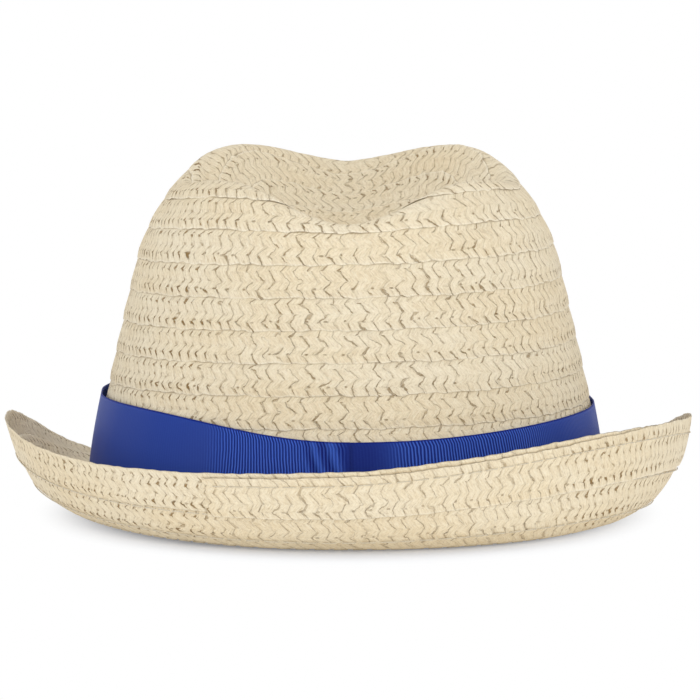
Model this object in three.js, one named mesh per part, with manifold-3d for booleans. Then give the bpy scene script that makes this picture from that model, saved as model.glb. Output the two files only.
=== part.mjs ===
// A straw fedora: paper-straw braid sewn in a spiral, a grosgrain hatband and a sweatband.
// Millimetres, +Z up, the front of the hat towards +Y. The hat stands on the rim of its
// turned-down front brim and on the bend under its back brim.
import * as THREE from 'three';
import { mergeVertices } from 'three/addons/utils/BufferGeometryUtils.js';
import Module from 'manifold-3d';

// The crown: its base oval, its wall and its dome. Heights count from the block's own base.
const crown_half_width = 88.1;
const crown_half_length = 102.1;
const crown_oval_power = 2.14;
const block_height = 147.9;
const shoulder_height = 92.3;
const wall_lean_deg = 13;
const lean_start_height = 23.3;
const lean_blend_height = 10;
const dome_height_power = 1.95;
const dome_width_power = 2.28;

// The centre dent of the crown
const dent_floor_height = 96.3;
const dent_back_offset = 13.7;
const dent_back_rise = 8.2;
const dent_back_length = 49.4;
const dent_front_rise = 26.3;
const dent_front_length = 73;
const dent_half_width = 42;
const dent_side_rise = 14.5;
const dent_end_side_rise = 42.4;
const dent_side_reach = 47.1;
const dent_side_power = 1.74;
const ridge_softness = 2.9;

// The two front pinches
const pinch_depth = 7;
const pinch_height = 106;
const pinch_half_height = 24;
const pinch_angle_deg = 34;
const pinch_half_angle_deg = 19;

// The break, where the crown turns into the brim
const break_height_back = 4.4;
const break_height_right = 5.2;
const break_height_left = 8;
const break_height_front = 10;
const break_radius = 7;
const break_wall_angle_deg = -80;

// The brim: its outline, the height of its rim and its slope at the break and at the rim
const brim_half_width = 119.1;
const brim_back_length = 135.4;
const brim_front_length = 145.3;
const brim_oval_power = 1.91;
const rim_height_back = 33;
const rim_height_right = 38.3;
const rim_height_left = 38.5;
const rim_twist_height = 4;
const rim_left_twist_height = 2.5;
const rim_front_right_raise_share = 1.6;
const rim_right_fullness = 5.4;
const rim_left_sharpness = 4.3;
const brim_start_back_deg = -4.6;
const brim_start_right_deg = 6.6;
const brim_start_left_deg = 4.8;
const brim_start_front_deg = -12;
const brim_end_back_deg = 62.5;
const brim_end_right_deg = 81.8;
const brim_end_left_deg = 70.7;
const brim_end_front_deg = -8;
const brim_start_pull_share = 0.385;
const brim_end_pull_share = 0.364;

// The straw braid. Every turn lies over the next one, from the tip to the rim. On the wall the
// turns lie level, one height apart; dome and brim share their own length out evenly.
const crown_turn_count = 16;
const brim_turn_count = 4;
const dome_turn_count = 8.38;
const braid_overlap = 2.6;
const braid_thickness = 1;
const braid_gap = 0.3;
const braid_end_deg = 249;

// The last turn runs in under the one before it, whose edge shows past its own
const braid_end_peek = 1.3;
const braid_slip_turn_share = 0.75;
const braid_peek_from_turn_share = 0.72;
const braid_peek_ease_turn_share = 0.14;

// The hatband, laid round the crown with its ends lapped at the back
const ribbon_width = 25;
const ribbon_thickness = 0.5;
const ribbon_clearance = 0.35;
const ribbon_left_loft = 0.9;
const ribbon_lap = 15;
const ribbon_lap_gap = 0.3;
const ribbon_lap_rise_length = 16;
const ribbon_lap_deg = 262;
const ribbon_low_back = 13.9;
const ribbon_low_right = 18.4;
const ribbon_low_left = 21.8;
const ribbon_low_front = 20;
const ribbon_right_fullness = 4;
const ribbon_left_fullness = 8;

// The sweatband, inside the foot of the crown
const sweatband_width = 30;
const sweatband_thickness = 1;
const sweatband_clearance = 0.6;
const sweatband_above_break = 1;
const sweatband_joint_gap = 0.4;
const sweatband_joint_deg = 270;

// How far the lowest straw is flattened where the hat stands, and room for that cut
const rest_flat_depth = 0.45;
const cut_overrun = 20;

// Fineness of the facets
const turn_steps = 36;
const curved_points_across = 3;
const wall_points_across = 2;
const bend_points_across = 4;
const band_steps = 60;
const dome_samples = 140;
const wall_samples = 60;
const break_samples = 12;
const brim_samples = 50;
const settle_passes = 4;
const slope_step = 0.8;
const slope_step_deg = 0.8;

const rad = THREE.MathUtils.degToRad;
const full_turn = 2 * Math.PI;
const right_angle = 0;
const front_right_angle = rad(45);
const front_angle = rad(90);
const left_angle = rad(180);
const back_angle = rad(270);
const braid_step_out = braid_thickness + braid_gap;

// Smooth step from 0 to 1
function ease(share) {
  const t = THREE.MathUtils.clamp(share, 0, 1);
  return t * t * (3 - 2 * t);
}

// A value for any direction round the hat, from one each at right, left, back and front
function around(angle, right, left, back, front) {
  const c = Math.cos(angle);
  const s = Math.sin(angle);
  return (c > 0 ? right : left) * c * c + (s < 0 ? back : front) * s * s;
}

// Radius of an oval with slightly squared corners
function ovalRadius(angle, halfWidth, halfLength, power) {
  const across = Math.abs(Math.cos(angle) / halfWidth) ** power;
  const along = Math.abs(Math.sin(angle) / halfLength) ** power;
  return (across + along) ** (-1 / power);
}

// Share of the crown's base oval that is left at a height, where its wall leans in
function wallShare(height) {
  const lean = Math.tan(rad(wall_lean_deg)) / crown_half_width;
  const above = (height - lean_start_height) / lean_blend_height;
  return 1 - lean * lean_blend_height * Math.log1p(Math.exp(above));
}

// Height of the dent's own surface over a point of the plan
function dentHeight(x, y) {
  const along = y + dent_back_offset;
  const back = dent_back_rise * (along / dent_back_length) ** 2;
  const front = dent_front_rise * (along / dent_front_length) ** 2;
  const middle = Math.exp(-((along / dent_side_reach) ** 2));
  const side = dent_end_side_rise + (dent_side_rise - dent_end_side_rise) * middle;
  const aside = (Math.abs(x) / dent_half_width) ** dent_side_power;
  return dent_floor_height + (along < 0 ? back : front) + side * aside;
}

// The lower of block and dent, with a rounded ridge where they meet
function creasedHeight(x, y, block) {
  const dent = dentHeight(x, y);
  const apart = Math.abs(block - dent) / ridge_softness;
  return Math.min(block, dent) - ridge_softness * Math.log1p(Math.exp(-apart));
}

// How far the front pinches press the crown in
function pinchDepth(angle, height) {
  const up = (height - pinch_height) / pinch_half_height;
  const fromFront = Math.abs(Math.atan2(Math.cos(angle), Math.sin(angle)));
  const aside = (fromFront - rad(pinch_angle_deg)) / rad(pinch_half_angle_deg);
  return pinch_depth * Math.exp(-up * up - aside * aside);
}

// Height of the rim, with the front rim at its own height
function rimHeight(angle, frontHeight) {
  const c = Math.cos(angle);
  const s = Math.sin(angle);
  const side = c > 0 ? rim_height_right : rim_height_left;
  const end = s < 0 ? rim_height_back : frontHeight;
  const weight = c > 0 && s < 0 ? 1 - Math.abs(s) ** rim_right_fullness
    : Math.abs(c) ** rim_left_sharpness;
  const frontRight = Math.max(0, Math.cos(angle - front_right_angle)) ** 4;
  const twist = c > 0 ? rim_twist_height * (1 - rim_front_right_raise_share * frontRight)
    : rim_left_twist_height;
  return side * weight + end * (1 - weight) - twist * Math.sin(2 * angle);
}

// The crown's part of a line from the tip down to the break, as radius and height
function crownPoints(angle, wallEnd) {
  const base = ovalRadius(angle, crown_half_width, crown_half_length, crown_oval_power);
  const points = [];
  const add = (share, height) => {
    const r = base * share - pinchDepth(angle, height) * ease(share);
    points.push([r, creasedHeight(r * Math.cos(angle), r * Math.sin(angle), height)]);
  };
  for (let i = 0; i <= dome_samples; i += 1) {
    const turn = (front_angle * i) / dome_samples;
    const lift = Math.abs(Math.cos(turn)) ** (2 / dome_height_power);
    const height = shoulder_height + (block_height - shoulder_height) * lift;
    add(wallShare(height) * Math.sin(turn) ** (2 / dome_width_power), height);
  }
  for (let i = 1; i <= wall_samples; i += 1) {
    const height = shoulder_height + ((wallEnd - shoulder_height) * i) / wall_samples;
    add(wallShare(height), height);
  }
  return points;
}

// One line from the tip over crown, break and brim to the rim, with its lengths from the tip
function meridian(angle, frontHeight) {
  const breakHeight = around(
    angle, break_height_right, break_height_left, break_height_back, break_height_front,
  );
  const points = crownPoints(angle, breakHeight + break_radius);
  const crownEnd = points.length - 1;
  const startSlope = rad(around(
    angle, brim_start_right_deg, brim_start_left_deg, brim_start_back_deg, brim_start_front_deg,
  ));
  const endSlope = rad(around(
    angle, brim_end_right_deg, brim_end_left_deg, brim_end_back_deg, brim_end_front_deg,
  ));
  let [r, z] = points[crownEnd];
  const sweep = startSlope - rad(break_wall_angle_deg);
  for (let i = 1; i <= break_samples; i += 1) {
    const slope = rad(break_wall_angle_deg) + (sweep * (i - 0.5)) / break_samples;
    r += (Math.cos(slope) * break_radius * sweep) / break_samples;
    z += (Math.sin(slope) * break_radius * sweep) / break_samples;
    points.push([r, z]);
  }
  const brimLength = Math.sin(angle) < 0 ? brim_back_length : brim_front_length;
  const rimR = ovalRadius(angle, brim_half_width, brimLength, brim_oval_power);
  const rimZ = rimHeight(angle, frontHeight);
  const span = Math.hypot(rimR - r, rimZ - z);
  const startPull = new THREE.Vector2(Math.cos(startSlope), Math.sin(startSlope));
  const endPull = new THREE.Vector2(Math.cos(endSlope), Math.sin(endSlope));
  const start = new THREE.Vector2(r, z);
  const end = new THREE.Vector2(rimR, rimZ);
  const curl = new THREE.CubicBezierCurve(
    start,
    start.clone().addScaledVector(startPull, span * brim_start_pull_share),
    end.clone().addScaledVector(endPull, -span * brim_end_pull_share),
    end,
  );
  for (let i = 1; i <= brim_samples; i += 1) {
    const point = curl.getPoint(i / brim_samples);
    points.push([point.x, point.y]);
  }
  const lengths = [0];
  for (let i = 1; i < points.length; i += 1) {
    const [dr, dz] = [points[i][0] - points[i - 1][0], points[i][1] - points[i - 1][1]];
    lengths.push(lengths[i - 1] + Math.hypot(dr, dz));
  }
  return { angle, points, lengths, crownEnd, total: lengths[lengths.length - 1] };
}

// A point of a line at a length from the tip, also a little past either end
function pointAt(line, length) {
  const { angle, points, lengths } = line;
  let low = 0;
  let high = lengths.length - 1;
  while (high - low > 1) {
    const middle = Math.floor((low + high) / 2);
    [low, high] = lengths[middle] <= length ? [middle, high] : [low, middle];
  }
  const share = (length - lengths[low]) / (lengths[high] - lengths[low]);
  const r = THREE.MathUtils.lerp(points[low][0], points[high][0], share);
  const z = THREE.MathUtils.lerp(points[low][1], points[high][1], share);
  return new THREE.Vector3(r * Math.cos(angle), r * Math.sin(angle), z);
}

// Length from the tip at which the wall has come down to a height
function lengthAtHeight(line, height) {
  let i = line.crownEnd;
  while (i > 1 && line.points[i - 1][1] < height) {
    i -= 1;
  }
  const [upper, lower] = [line.points[i - 1][1], line.points[i][1]];
  const share = (upper - height) / (upper - lower);
  return THREE.MathUtils.lerp(line.lengths[i - 1], line.lengths[i], share);
}

// The lines of the whole hat, kept by direction. The front rim's height is settled further down.
const lines = new Map();
let front_rim_height = rest_flat_depth;
function lineAt(angle) {
  const key = angle.toFixed(9);
  if (!lines.has(key)) {
    lines.set(key, meridian(angle, front_rim_height));
  }
  return lines.get(key);
}

const back_line = lineAt(back_angle);
const row_count = crown_turn_count + brim_turn_count;
const wall_end_height = break_height_back + break_radius;
const wall_row_height = (shoulder_height - wall_end_height) / (crown_turn_count - dome_turn_count);
const braid_pitch = wall_row_height / Math.cos(rad(wall_lean_deg));
const overlap_rows = braid_overlap / braid_pitch / 2;
const peek_rows = braid_end_peek / braid_pitch;

// Direction of the braid at a share of its turn. It runs clockwise, seen from above.
function braidAngle(part) {
  return rad(braid_end_deg) - full_turn * part;
}

// Share of its turn that the braid has run at a direction
function braidPart(angle) {
  const turned = (rad(braid_end_deg) - angle) / full_turn;
  return turned - Math.floor(turned);
}

// Row of the rim, lowest where the last turn has slipped under the one before it
function rimRow(part) {
  const fall = (part * (1 - braid_slip_turn_share)) / braid_slip_turn_share;
  return row_count + overlap_rows + peek_rows - Math.min(fall, 1 - part);
}

// How far the edge of the turn before shows past the last turn's edge, in rows
function endPeek(part) {
  return peek_rows * ease((part - braid_peek_from_turn_share) / braid_peek_ease_turn_share);
}

// Length from the tip along a line to a row
function rowLength(line, row) {
  const { points, lengths, crownEnd, total } = line;
  const shoulder = lengths[dome_samples];
  if (row <= dome_turn_count) {
    return (shoulder * row) / dome_turn_count;
  }
  const fall = shoulder_height - points[crownEnd][1];
  const breakRow = dome_turn_count + fall / wall_row_height;
  const [from, to, start, end] = row <= breakRow
    ? [dome_turn_count, breakRow, shoulder, lengths[crownEnd]]
    : [breakRow, rimRow(braidPart(line.angle)), lengths[crownEnd], total];
  return start + ((end - start) * (row - from)) / (to - from);
}

// Row of a line at a length on the wall
function wallRow(line, length) {
  const { points, lengths, crownEnd } = line;
  const share = (length - lengths[dome_samples]) / (lengths[crownEnd] - lengths[dome_samples]);
  return dome_turn_count + (share * (shoulder_height - points[crownEnd][1])) / wall_row_height;
}

// A point of the hat's middle surface, by direction and by braid rows from the tip, lifted
// along the outward side
function raised(angle, row, lift) {
  const line = lineAt(angle);
  const length = rowLength(line, row);
  const place = pointAt(line, length);
  if (row <= 0) {
    return place.setZ(place.z + lift);
  }
  const down = pointAt(line, length + slope_step).sub(pointAt(line, length - slope_step));
  const [next, last] = [lineAt(angle + rad(slope_step_deg)), lineAt(angle - rad(slope_step_deg))];
  const along = pointAt(next, rowLength(next, row)).sub(pointAt(last, rowLength(last, row)));
  return place.addScaledVector(down.cross(along).normalize(), lift);
}

// How far the middle of the braid stands off the hat's middle surface: its upper edge is tucked
// under the turn before, its lower edge lies over the turn after
function shingleLift(row, top) {
  return braid_step_out * (row - top - 0.5);
}

// How finely a turn of the braid is curved across: least on the straight wall, most at the bend
function pointsBetween(turn) {
  if (Math.abs(turn + 1 - crown_turn_count) <= 1) {
    return bend_points_across;
  }
  const onWall = turn > dome_turn_count && turn < crown_turn_count;
  return onWall ? wall_points_across : curved_points_across;
}

// The places across one turn of the braid, in rows from the tip
function rowsAcross(turn, part) {
  if (turn === row_count - 1) {
    const low = rimRow(part) - endPeek(part);
    const width = 1 + 2 * overlap_rows;
    return [0, 1, 2, 3, 4].map((i) => low - width * (1 - i / 4));
  }
  const top = turn + part;
  const peek = turn === row_count - 2 ? endPeek(part) : 0;
  const count = pointsBetween(turn);
  const between = Array.from({ length: count }, (_, i) => (
    THREE.MathUtils.lerp(top + overlap_rows, top + 1 - overlap_rows, i / (count - 1))));
  return [top - overlap_rows, ...between, top + 1 + overlap_rows + peek];
}

// Points across the braid on its outer or inner face
function braidFace(turn, part, side) {
  return rowsAcross(turn, part).map((row) => {
    const lift = shingleLift(row, turn + part) + (side * braid_thickness) / 2;
    return raised(braidAngle(part), row, lift);
  });
}

// Height of the lowest straw between two directions
function lowestStraw(from, to) {
  let lowest = block_height;
  for (let turn = crown_turn_count - 1; turn < row_count; turn += 1) {
    for (let i = 0; i < turn_steps; i += 1) {
      const swing = (((braidAngle(i / turn_steps) - from) % full_turn) + full_turn) % full_turn;
      if (swing <= to - from) {
        const heights = braidFace(turn, i / turn_steps, -1).map((point) => point.z);
        lowest = Math.min(lowest, ...heights);
      }
    }
  }
  return lowest;
}

// The table touches the straw under the back brim, and the front rim comes down to it
const table_height = lowestStraw(left_angle, left_angle + Math.PI) + rest_flat_depth;
for (let pass = 0; pass < settle_passes; pass += 1) {
  const low = lowestStraw(right_angle, left_angle);
  front_rim_height += table_height - rest_flat_depth - low;
  lines.clear();
}

// Turns a closed geometry's faces outwards
function facingOut(geometry) {
  const at = geometry.getAttribute('position');
  const index = geometry.getIndex().array;
  const [a, b, c] = [new THREE.Vector3(), new THREE.Vector3(), new THREE.Vector3()];
  let volume = 0;
  for (let i = 0; i < index.length; i += 3) {
    a.fromBufferAttribute(at, index[i]);
    b.fromBufferAttribute(at, index[i + 1]);
    c.fromBufferAttribute(at, index[i + 2]);
    volume += a.dot(b.cross(c));
  }
  for (let i = 0; volume < 0 && i < index.length; i += 3) {
    [index[i + 1], index[i + 2]] = [index[i + 2], index[i + 1]];
  }
  geometry.computeVertexNormals();
  return geometry;
}

function closedGeometry(points, index) {
  const geometry = new THREE.BufferGeometry();
  const positions = points.flatMap((point) => [point.x, point.y, point.z]);
  geometry.setAttribute('position', new THREE.Float32BufferAttribute(positions, 3));
  geometry.setIndex(index);
  return facingOut(geometry);
}

// A closed strip from two faces, each a row of points for every step along it. Both faces are
// split along the same diagonals, so strips that lie on each other stay parallel.
function strip(outer, inner) {
  const across = outer[0].length;
  const count = 2 * across;
  const points = outer.flatMap((row, i) => [...row, ...inner[i].toReversed()]);
  const index = [];
  for (let i = 0; i < outer.length - 1; i += 1) {
    for (let j = 0; j < count; j += 1) {
      const [a, b] = [i * count + j, i * count + ((j + 1) % count)];
      const [c, d] = [a + count, b + count];
      index.push(...(j < across ? [a, c, b, b, c, d] : [a, c, d, a, d, b]));
    }
  }
  const last = (outer.length - 1) * count;
  for (let j = 0; j < across - 1; j += 1) {
    const k = count - 1 - j;
    index.push(j, j + 1, k, j + 1, k - 1, k);
    index.push(last + j, last + k, last + j + 1, last + j + 1, last + k, last + k - 1);
  }
  return closedGeometry(points, index);
}

// One turn of the braid
function braidTurn(turn) {
  const middle = pointAt(back_line, rowLength(back_line, turn + 0.5));
  const endPart = braid_gap / 2 / (full_turn * Math.hypot(middle.x, middle.y));
  const parts = Array.from({ length: turn_steps + 1 }, (_, i) => (
    THREE.MathUtils.clamp(i / turn_steps, endPart, 1 - endPart)));
  const outer = parts.map((part) => braidFace(turn, part, 1));
  const inner = parts.map((part) => braidFace(turn, part, -1));
  return strip(outer, inner);
}

// The start of the braid, coiled up at the tip. Its edge runs out by one row in its one turn,
// up to a step where the next turn begins.
function tipCoil() {
  const edgeRow = 1 + overlap_rows;
  const innerRows = [edgeRow / 3, (2 * edgeRow) / 3, edgeRow];
  const middle = pointAt(back_line, rowLength(back_line, 1.5));
  const endPart = braid_gap / 2 / (full_turn * Math.hypot(middle.x, middle.y));
  const lift = braid_step_out * (0.5 + overlap_rows);
  const points = [];
  const faces = [1, -1].map((side) => {
    const off = lift + (side * braid_thickness) / 2;
    const first = points.length;
    points.push(raised(back_angle, 0, off));
    for (let i = 0; i <= turn_steps; i += 1) {
      const part = Math.min(i / turn_steps, 1 - endPart);
      [...innerRows, edgeRow + part].forEach((row) => points.push(raised(braidAngle(part), row, off)));
    }
    return first;
  });
  const at = (first, i, ring) => first + (ring === 0 ? 0 : 1 + i * 4 + (i === 0 && ring === 4 ? 2 : ring - 1));
  const quads = [];
  for (let i = 0; i <= turn_steps; i += 1) {
    const next = (i + 1) % (turn_steps + 1);
    const rings = i === turn_steps ? 3 : 4;
    for (let ring = 0; ring < rings; ring += 1) {
      quads.push([[i, ring], [i, ring + 1], [next, ring + 1], [next, ring]]);
    }
  }
  const index = [];
  const addQuad = (a, b, c, d) => {
    index.push(...[[a, b, c], [a, c, d]].filter(([p, q, r]) => p !== q && q !== r && r !== p).flat());
  };
  const [top, bottom] = faces;
  quads.forEach((quad) => {
    addQuad(...quad.map(([i, ring]) => at(top, i, ring)));
    addQuad(...quad.map(([i, ring]) => at(bottom, i, ring)).reverse());
  });
  const edge = Array.from({ length: turn_steps + 1 }, (_, i) => [i, 4]);
  edge.push([turn_steps, 3], [0, 4]);
  for (let i = 0; i < edge.length - 1; i += 1) {
    const [here, there] = [edge[i], edge[i + 1]];
    addQuad(at(top, ...here), at(bottom, ...here), at(bottom, ...there), at(top, ...there));
  }
  return mergeVertices(closedGeometry(points, index));
}

// How far the braid's faces reach off the middle surface
const straw_reach = braid_step_out * (0.5 + overlap_rows) + braid_thickness / 2;

// Points across a band on the wall, from its upper to its lower edge
function bandFace(angle, lowLength, width, lift) {
  const line = lineAt(angle);
  return [1, 0.5, 0].map((share) => {
    return raised(angle, wallRow(line, lowLength - width * share), lift);
  });
}

// Height of the ribbon's lower edge
function ribbonLow(angle) {
  const right = Math.cos(angle) > 0;
  const side = right ? ribbon_low_right : ribbon_low_left;
  const end = Math.sin(angle) < 0 ? ribbon_low_back : ribbon_low_front;
  const fullness = right ? ribbon_right_fullness : ribbon_left_fullness;
  return THREE.MathUtils.lerp(side, end, Math.abs(Math.sin(angle)) ** fullness);
}

// The ribbon, once round and on over its own start. It stands off a little at the left.
function hatband() {
  const lapRadius = ovalRadius(
    rad(ribbon_lap_deg), crown_half_width, crown_half_length, crown_oval_power,
  );
  const sweep = full_turn + ribbon_lap / lapRadius;
  const riseSweep = ribbon_lap_rise_length / lapRadius;
  const swings = [];
  for (let i = 0; (full_turn * i) / band_steps < sweep; i += 1) {
    swings.push((full_turn * i) / band_steps);
  }
  swings.push(sweep);
  const face = (side) => swings.map((swing) => {
    const angle = rad(ribbon_lap_deg) + swing;
    const loft = around(angle, 0, ribbon_left_loft, 0, 0);
    const rise = ease((swing - full_turn + riseSweep) / riseSweep);
    const lap = (ribbon_thickness + ribbon_lap_gap) * rise;
    const middle = straw_reach + ribbon_clearance + ribbon_thickness / 2 + loft + lap;
    const lift = middle + (side * ribbon_thickness) / 2;
    return bandFace(angle, lengthAtHeight(lineAt(angle), ribbonLow(angle)), ribbon_width, lift);
  });
  return strip(face(1), face(-1));
}

// The sweatband, once round, its two ends meeting at the back
function sweatband() {
  const gapSweep = sweatband_joint_gap / crown_half_length;
  const face = (side) => Array.from({ length: band_steps + 1 }, (_, i) => {
    const share = i / band_steps;
    const angle = rad(sweatband_joint_deg) + gapSweep / 2 + (full_turn - gapSweep) * share;
    const line = lineAt(angle);
    const low = line.lengths[line.crownEnd] - sweatband_above_break;
    const middle = -straw_reach - sweatband_clearance - sweatband_thickness / 2;
    return bandFace(angle, low, sweatband_width, middle + (side * sweatband_thickness) / 2);
  });
  return strip(face(1), face(-1));
}

const wasm = await Module();
wasm.setup();

// Cuts off what would be under the table
function standing(geometry) {
  geometry.computeBoundingBox();
  const box = geometry.boundingBox;
  if (box.min.z >= table_height) {
    return geometry;
  }
  const solid = new wasm.Manifold(new wasm.Mesh({
    numProp: 3,
    vertProperties: new Float32Array(geometry.getAttribute('position').array),
    triVerts: new Uint32Array(geometry.getIndex().array),
  }));
  const under = wasm.Manifold.cube([
    box.max.x - box.min.x + 2 * cut_overrun, box.max.y - box.min.y + 2 * cut_overrun, cut_overrun,
  ]).translate([
    box.min.x - cut_overrun, box.min.y - cut_overrun, table_height - cut_overrun,
  ]);
  const { vertProperties, triVerts } = solid.subtract(under).getMesh();
  const cut = new THREE.BufferGeometry();
  cut.setAttribute('position', new THREE.Float32BufferAttribute(vertProperties, 3));
  cut.setIndex([...triVerts]);
  return facingOut(cut);
}

const straw = new THREE.MeshStandardMaterial({ color: '#e3d4b6', roughness: 0.8, metalness: 0 });
const grosgrain = new THREE.MeshStandardMaterial({ color: '#27418f', roughness: 0.6, metalness: 0 });
const lining = new THREE.MeshStandardMaterial({ color: '#e9e2d3', roughness: 0.9, metalness: 0 });

const hat = new THREE.Group();
hat.name = 'straw_fedora';
function add(name, geometry, material) {
  const mesh = new THREE.Mesh(standing(geometry), material);
  mesh.name = name;
  hat.add(mesh);
}

add('tip_coil', tipCoil(), straw);
for (let turn = 1; turn < row_count; turn += 1) {
  const onCrown = turn < crown_turn_count;
  const number = onCrown ? turn : turn - crown_turn_count + 1;
  const name = `${onCrown ? 'crown' : 'brim'}_turn_${String(number).padStart(2, '0')}`;
  add(name, braidTurn(turn), straw);
}
add('hatband_ribbon', hatband(), grosgrain);
add('sweatband', sweatband(), lining);

// The middle of the hat's outline stands on the origin
const bounds = new THREE.Box3().setFromObject(hat);
const middle = bounds.getCenter(new THREE.Vector3());
hat.children.forEach((mesh) => mesh.geometry.translate(-middle.x, -middle.y, -bounds.min.z));

export default hat;
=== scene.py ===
"""Straw fedora: paper-straw braid sewn in a spiral, a grosgrain hatband and a sweatband.

Shapes are worked out in millimetres from the hat block's own base and put into metres when a
mesh is made. The front of the hat is towards +Y.
"""

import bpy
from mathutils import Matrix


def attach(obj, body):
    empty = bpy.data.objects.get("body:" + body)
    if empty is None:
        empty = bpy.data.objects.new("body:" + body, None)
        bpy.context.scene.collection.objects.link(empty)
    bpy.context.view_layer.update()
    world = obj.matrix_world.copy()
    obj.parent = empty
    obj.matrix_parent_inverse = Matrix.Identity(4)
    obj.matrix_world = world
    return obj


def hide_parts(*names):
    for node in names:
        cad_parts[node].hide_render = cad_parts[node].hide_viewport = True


bl_info = {
    "name": "Straw Fedora",
    "version": (1, 0, 0),
    "blender": (4, 5, 0),
    "location": "View3D > Sidebar > Straw Fedora",
    "description": "Makes a straw fedora of sewn braid with a grosgrain hatband",
    "category": "Add Mesh",
}

import math

import bmesh
import bpy
import numpy as np
from bpy.props import FloatProperty, FloatVectorProperty, IntProperty, PointerProperty
from mathutils import Vector

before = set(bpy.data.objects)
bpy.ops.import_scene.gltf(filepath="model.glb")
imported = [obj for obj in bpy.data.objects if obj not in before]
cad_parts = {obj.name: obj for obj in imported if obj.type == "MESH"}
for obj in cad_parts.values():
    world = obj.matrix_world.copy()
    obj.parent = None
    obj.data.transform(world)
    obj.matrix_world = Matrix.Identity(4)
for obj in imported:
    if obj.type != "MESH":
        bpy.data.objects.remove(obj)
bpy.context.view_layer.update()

MM = 0.001
FULL_TURN = 2 * math.pi

# The crown: its base oval, its wall and its dome. Heights count from the block's base.
CROWN_HALF_WIDTH = 88.1
CROWN_HALF_LENGTH = 102.1
CROWN_OVAL_POWER = 2.14
BLOCK_HEIGHT = 147.9
SHOULDER_HEIGHT = 92.3
WALL_LEAN_DEG = 13
LEAN_START_HEIGHT = 23.3
LEAN_BLEND_HEIGHT = 10
DOME_HEIGHT_POWER = 1.95
DOME_WIDTH_POWER = 2.28

# The centre dent of the crown
DENT_FLOOR_HEIGHT = 96.3
DENT_BACK_OFFSET = 13.7
DENT_BACK_RISE = 8.2
DENT_BACK_LENGTH = 49.4
DENT_FRONT_RISE = 26.3
DENT_FRONT_LENGTH = 73
DENT_HALF_WIDTH = 42
DENT_SIDE_RISE = 14.5
DENT_END_SIDE_RISE = 42.4
DENT_SIDE_REACH = 47.1
DENT_SIDE_POWER = 1.74
RIDGE_SOFTNESS = 2.9

# The two front pinches
PINCH_DEPTH = 7
PINCH_HEIGHT = 106
PINCH_HALF_HEIGHT = 24
PINCH_ANGLE_DEG = 34
PINCH_HALF_ANGLE_DEG = 19

# The break, where crown turns into brim. Groups of four read right, left, back, front.
BREAK_HEIGHTS = (5.2, 8, 4.4, 10)
BREAK_RADIUS = 7
BREAK_WALL_ANGLE_DEG = -80

# The brim
BRIM_HALF_WIDTH = 119.1
BRIM_BACK_LENGTH = 135.4
BRIM_FRONT_LENGTH = 145.3
BRIM_OVAL_POWER = 1.91
RIM_HEIGHT_BACK = 33
RIM_HEIGHT_RIGHT = 38.3
RIM_HEIGHT_LEFT = 38.5
RIM_HEIGHT_FRONT = 5.153
RIM_TWIST_HEIGHT = 4
RIM_LEFT_TWIST_HEIGHT = 2.5
RIM_FRONT_RIGHT_RAISE_SHARE = 1.6
RIM_RIGHT_FULLNESS = 5.4
RIM_LEFT_SHARPNESS = 4.3
BRIM_START_SLOPES_DEG = (6.6, 4.8, -4.6, -12)
BRIM_END_SLOPES_DEG = (81.8, 70.7, 62.5, -8)
BRIM_START_PULL_SHARE = 0.385
BRIM_END_PULL_SHARE = 0.364

# Where the middle of the hat's outline and the table are, seen from the block's base
OUTLINE_MIDDLE_X = 0.424
OUTLINE_MIDDLE_Y = 4.881
TABLE_HEIGHT = 4.736

# The braid: 20 turns, of which the first is coiled up at the tip. On the wall the turns lie
# level, one height apart; dome and brim share their own length out evenly.
TURN_COUNT = 20
CROWN_TURN_COUNT = 16
DOME_TURN_COUNT = 8.38
WALL_END_HEIGHT = BREAK_HEIGHTS[2] + BREAK_RADIUS
WALL_ROW_HEIGHT = (SHOULDER_HEIGHT - WALL_END_HEIGHT) / (CROWN_TURN_COUNT - DOME_TURN_COUNT)
BRAID_PITCH = WALL_ROW_HEIGHT / math.cos(math.radians(WALL_LEAN_DEG))
BRAID_OVERLAP = 2.6
BRAID_TUCK = 0.8
BRAID_WIDTH = BRAID_PITCH + BRAID_OVERLAP + BRAID_TUCK
BRAID_END_DEG = 249
BRAID_END_PEEK = 1.3
BRAID_SLIP_SHARE = 0.75
BRAID_PEEK_FROM_SHARE = 0.72
BRAID_PEEK_EASE_SHARE = 0.14
OVERLAP_ROWS = BRAID_OVERLAP / BRAID_PITCH / 2
TUCK_ROWS = BRAID_TUCK / BRAID_PITCH
PEEK_ROWS = BRAID_END_PEEK / BRAID_PITCH

# The braid's middle lies a little off the hat's own surface and its outer face bulges. Points
# lie one step apart along it. The last turns, at the rim, have the more even edges.
BRAID_LIFT = 0.3
BRAID_BULGE = 0.13
BRAID_STEP = 1.15
RIM_TURNS = 2
RIM_UNEVENNESS = 0.45
TIP_LENGTH = 58
TIP_STEPS = 180
TIP_RINGS = 16
TIP_DIP = 0.35
TIP_DIP_SHARE = 0.16

# Unevenness of the braid: each wave is a length in mm, a size in mm and a phase
PLEAT_SIZE = 0.2
LOWER_EDGE_WAVES = (31, 0.16, 1.1), (13.7, 0.16, 0.4), (7.3, 0.14, 2.0), (4.9, 0.1, 0.7)
UPPER_EDGE_WAVES = (23, 0.1, 0.2), (9.1, 0.08, 1.7)
FACE_WAVES = (47, 0.1, 0.3), (19, 0.07, 2.2), (8.2, 0.04, 0.9)

# The seam: one line of stitches in each turn
SEAM_ABOVE_EDGE = 2.8
SEAM_SINK = 0.18
SEAM_LAP_STEPS = 0.64
THREAD_RADIUS = 0.22
STITCH_SHARE = 0.8

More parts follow.
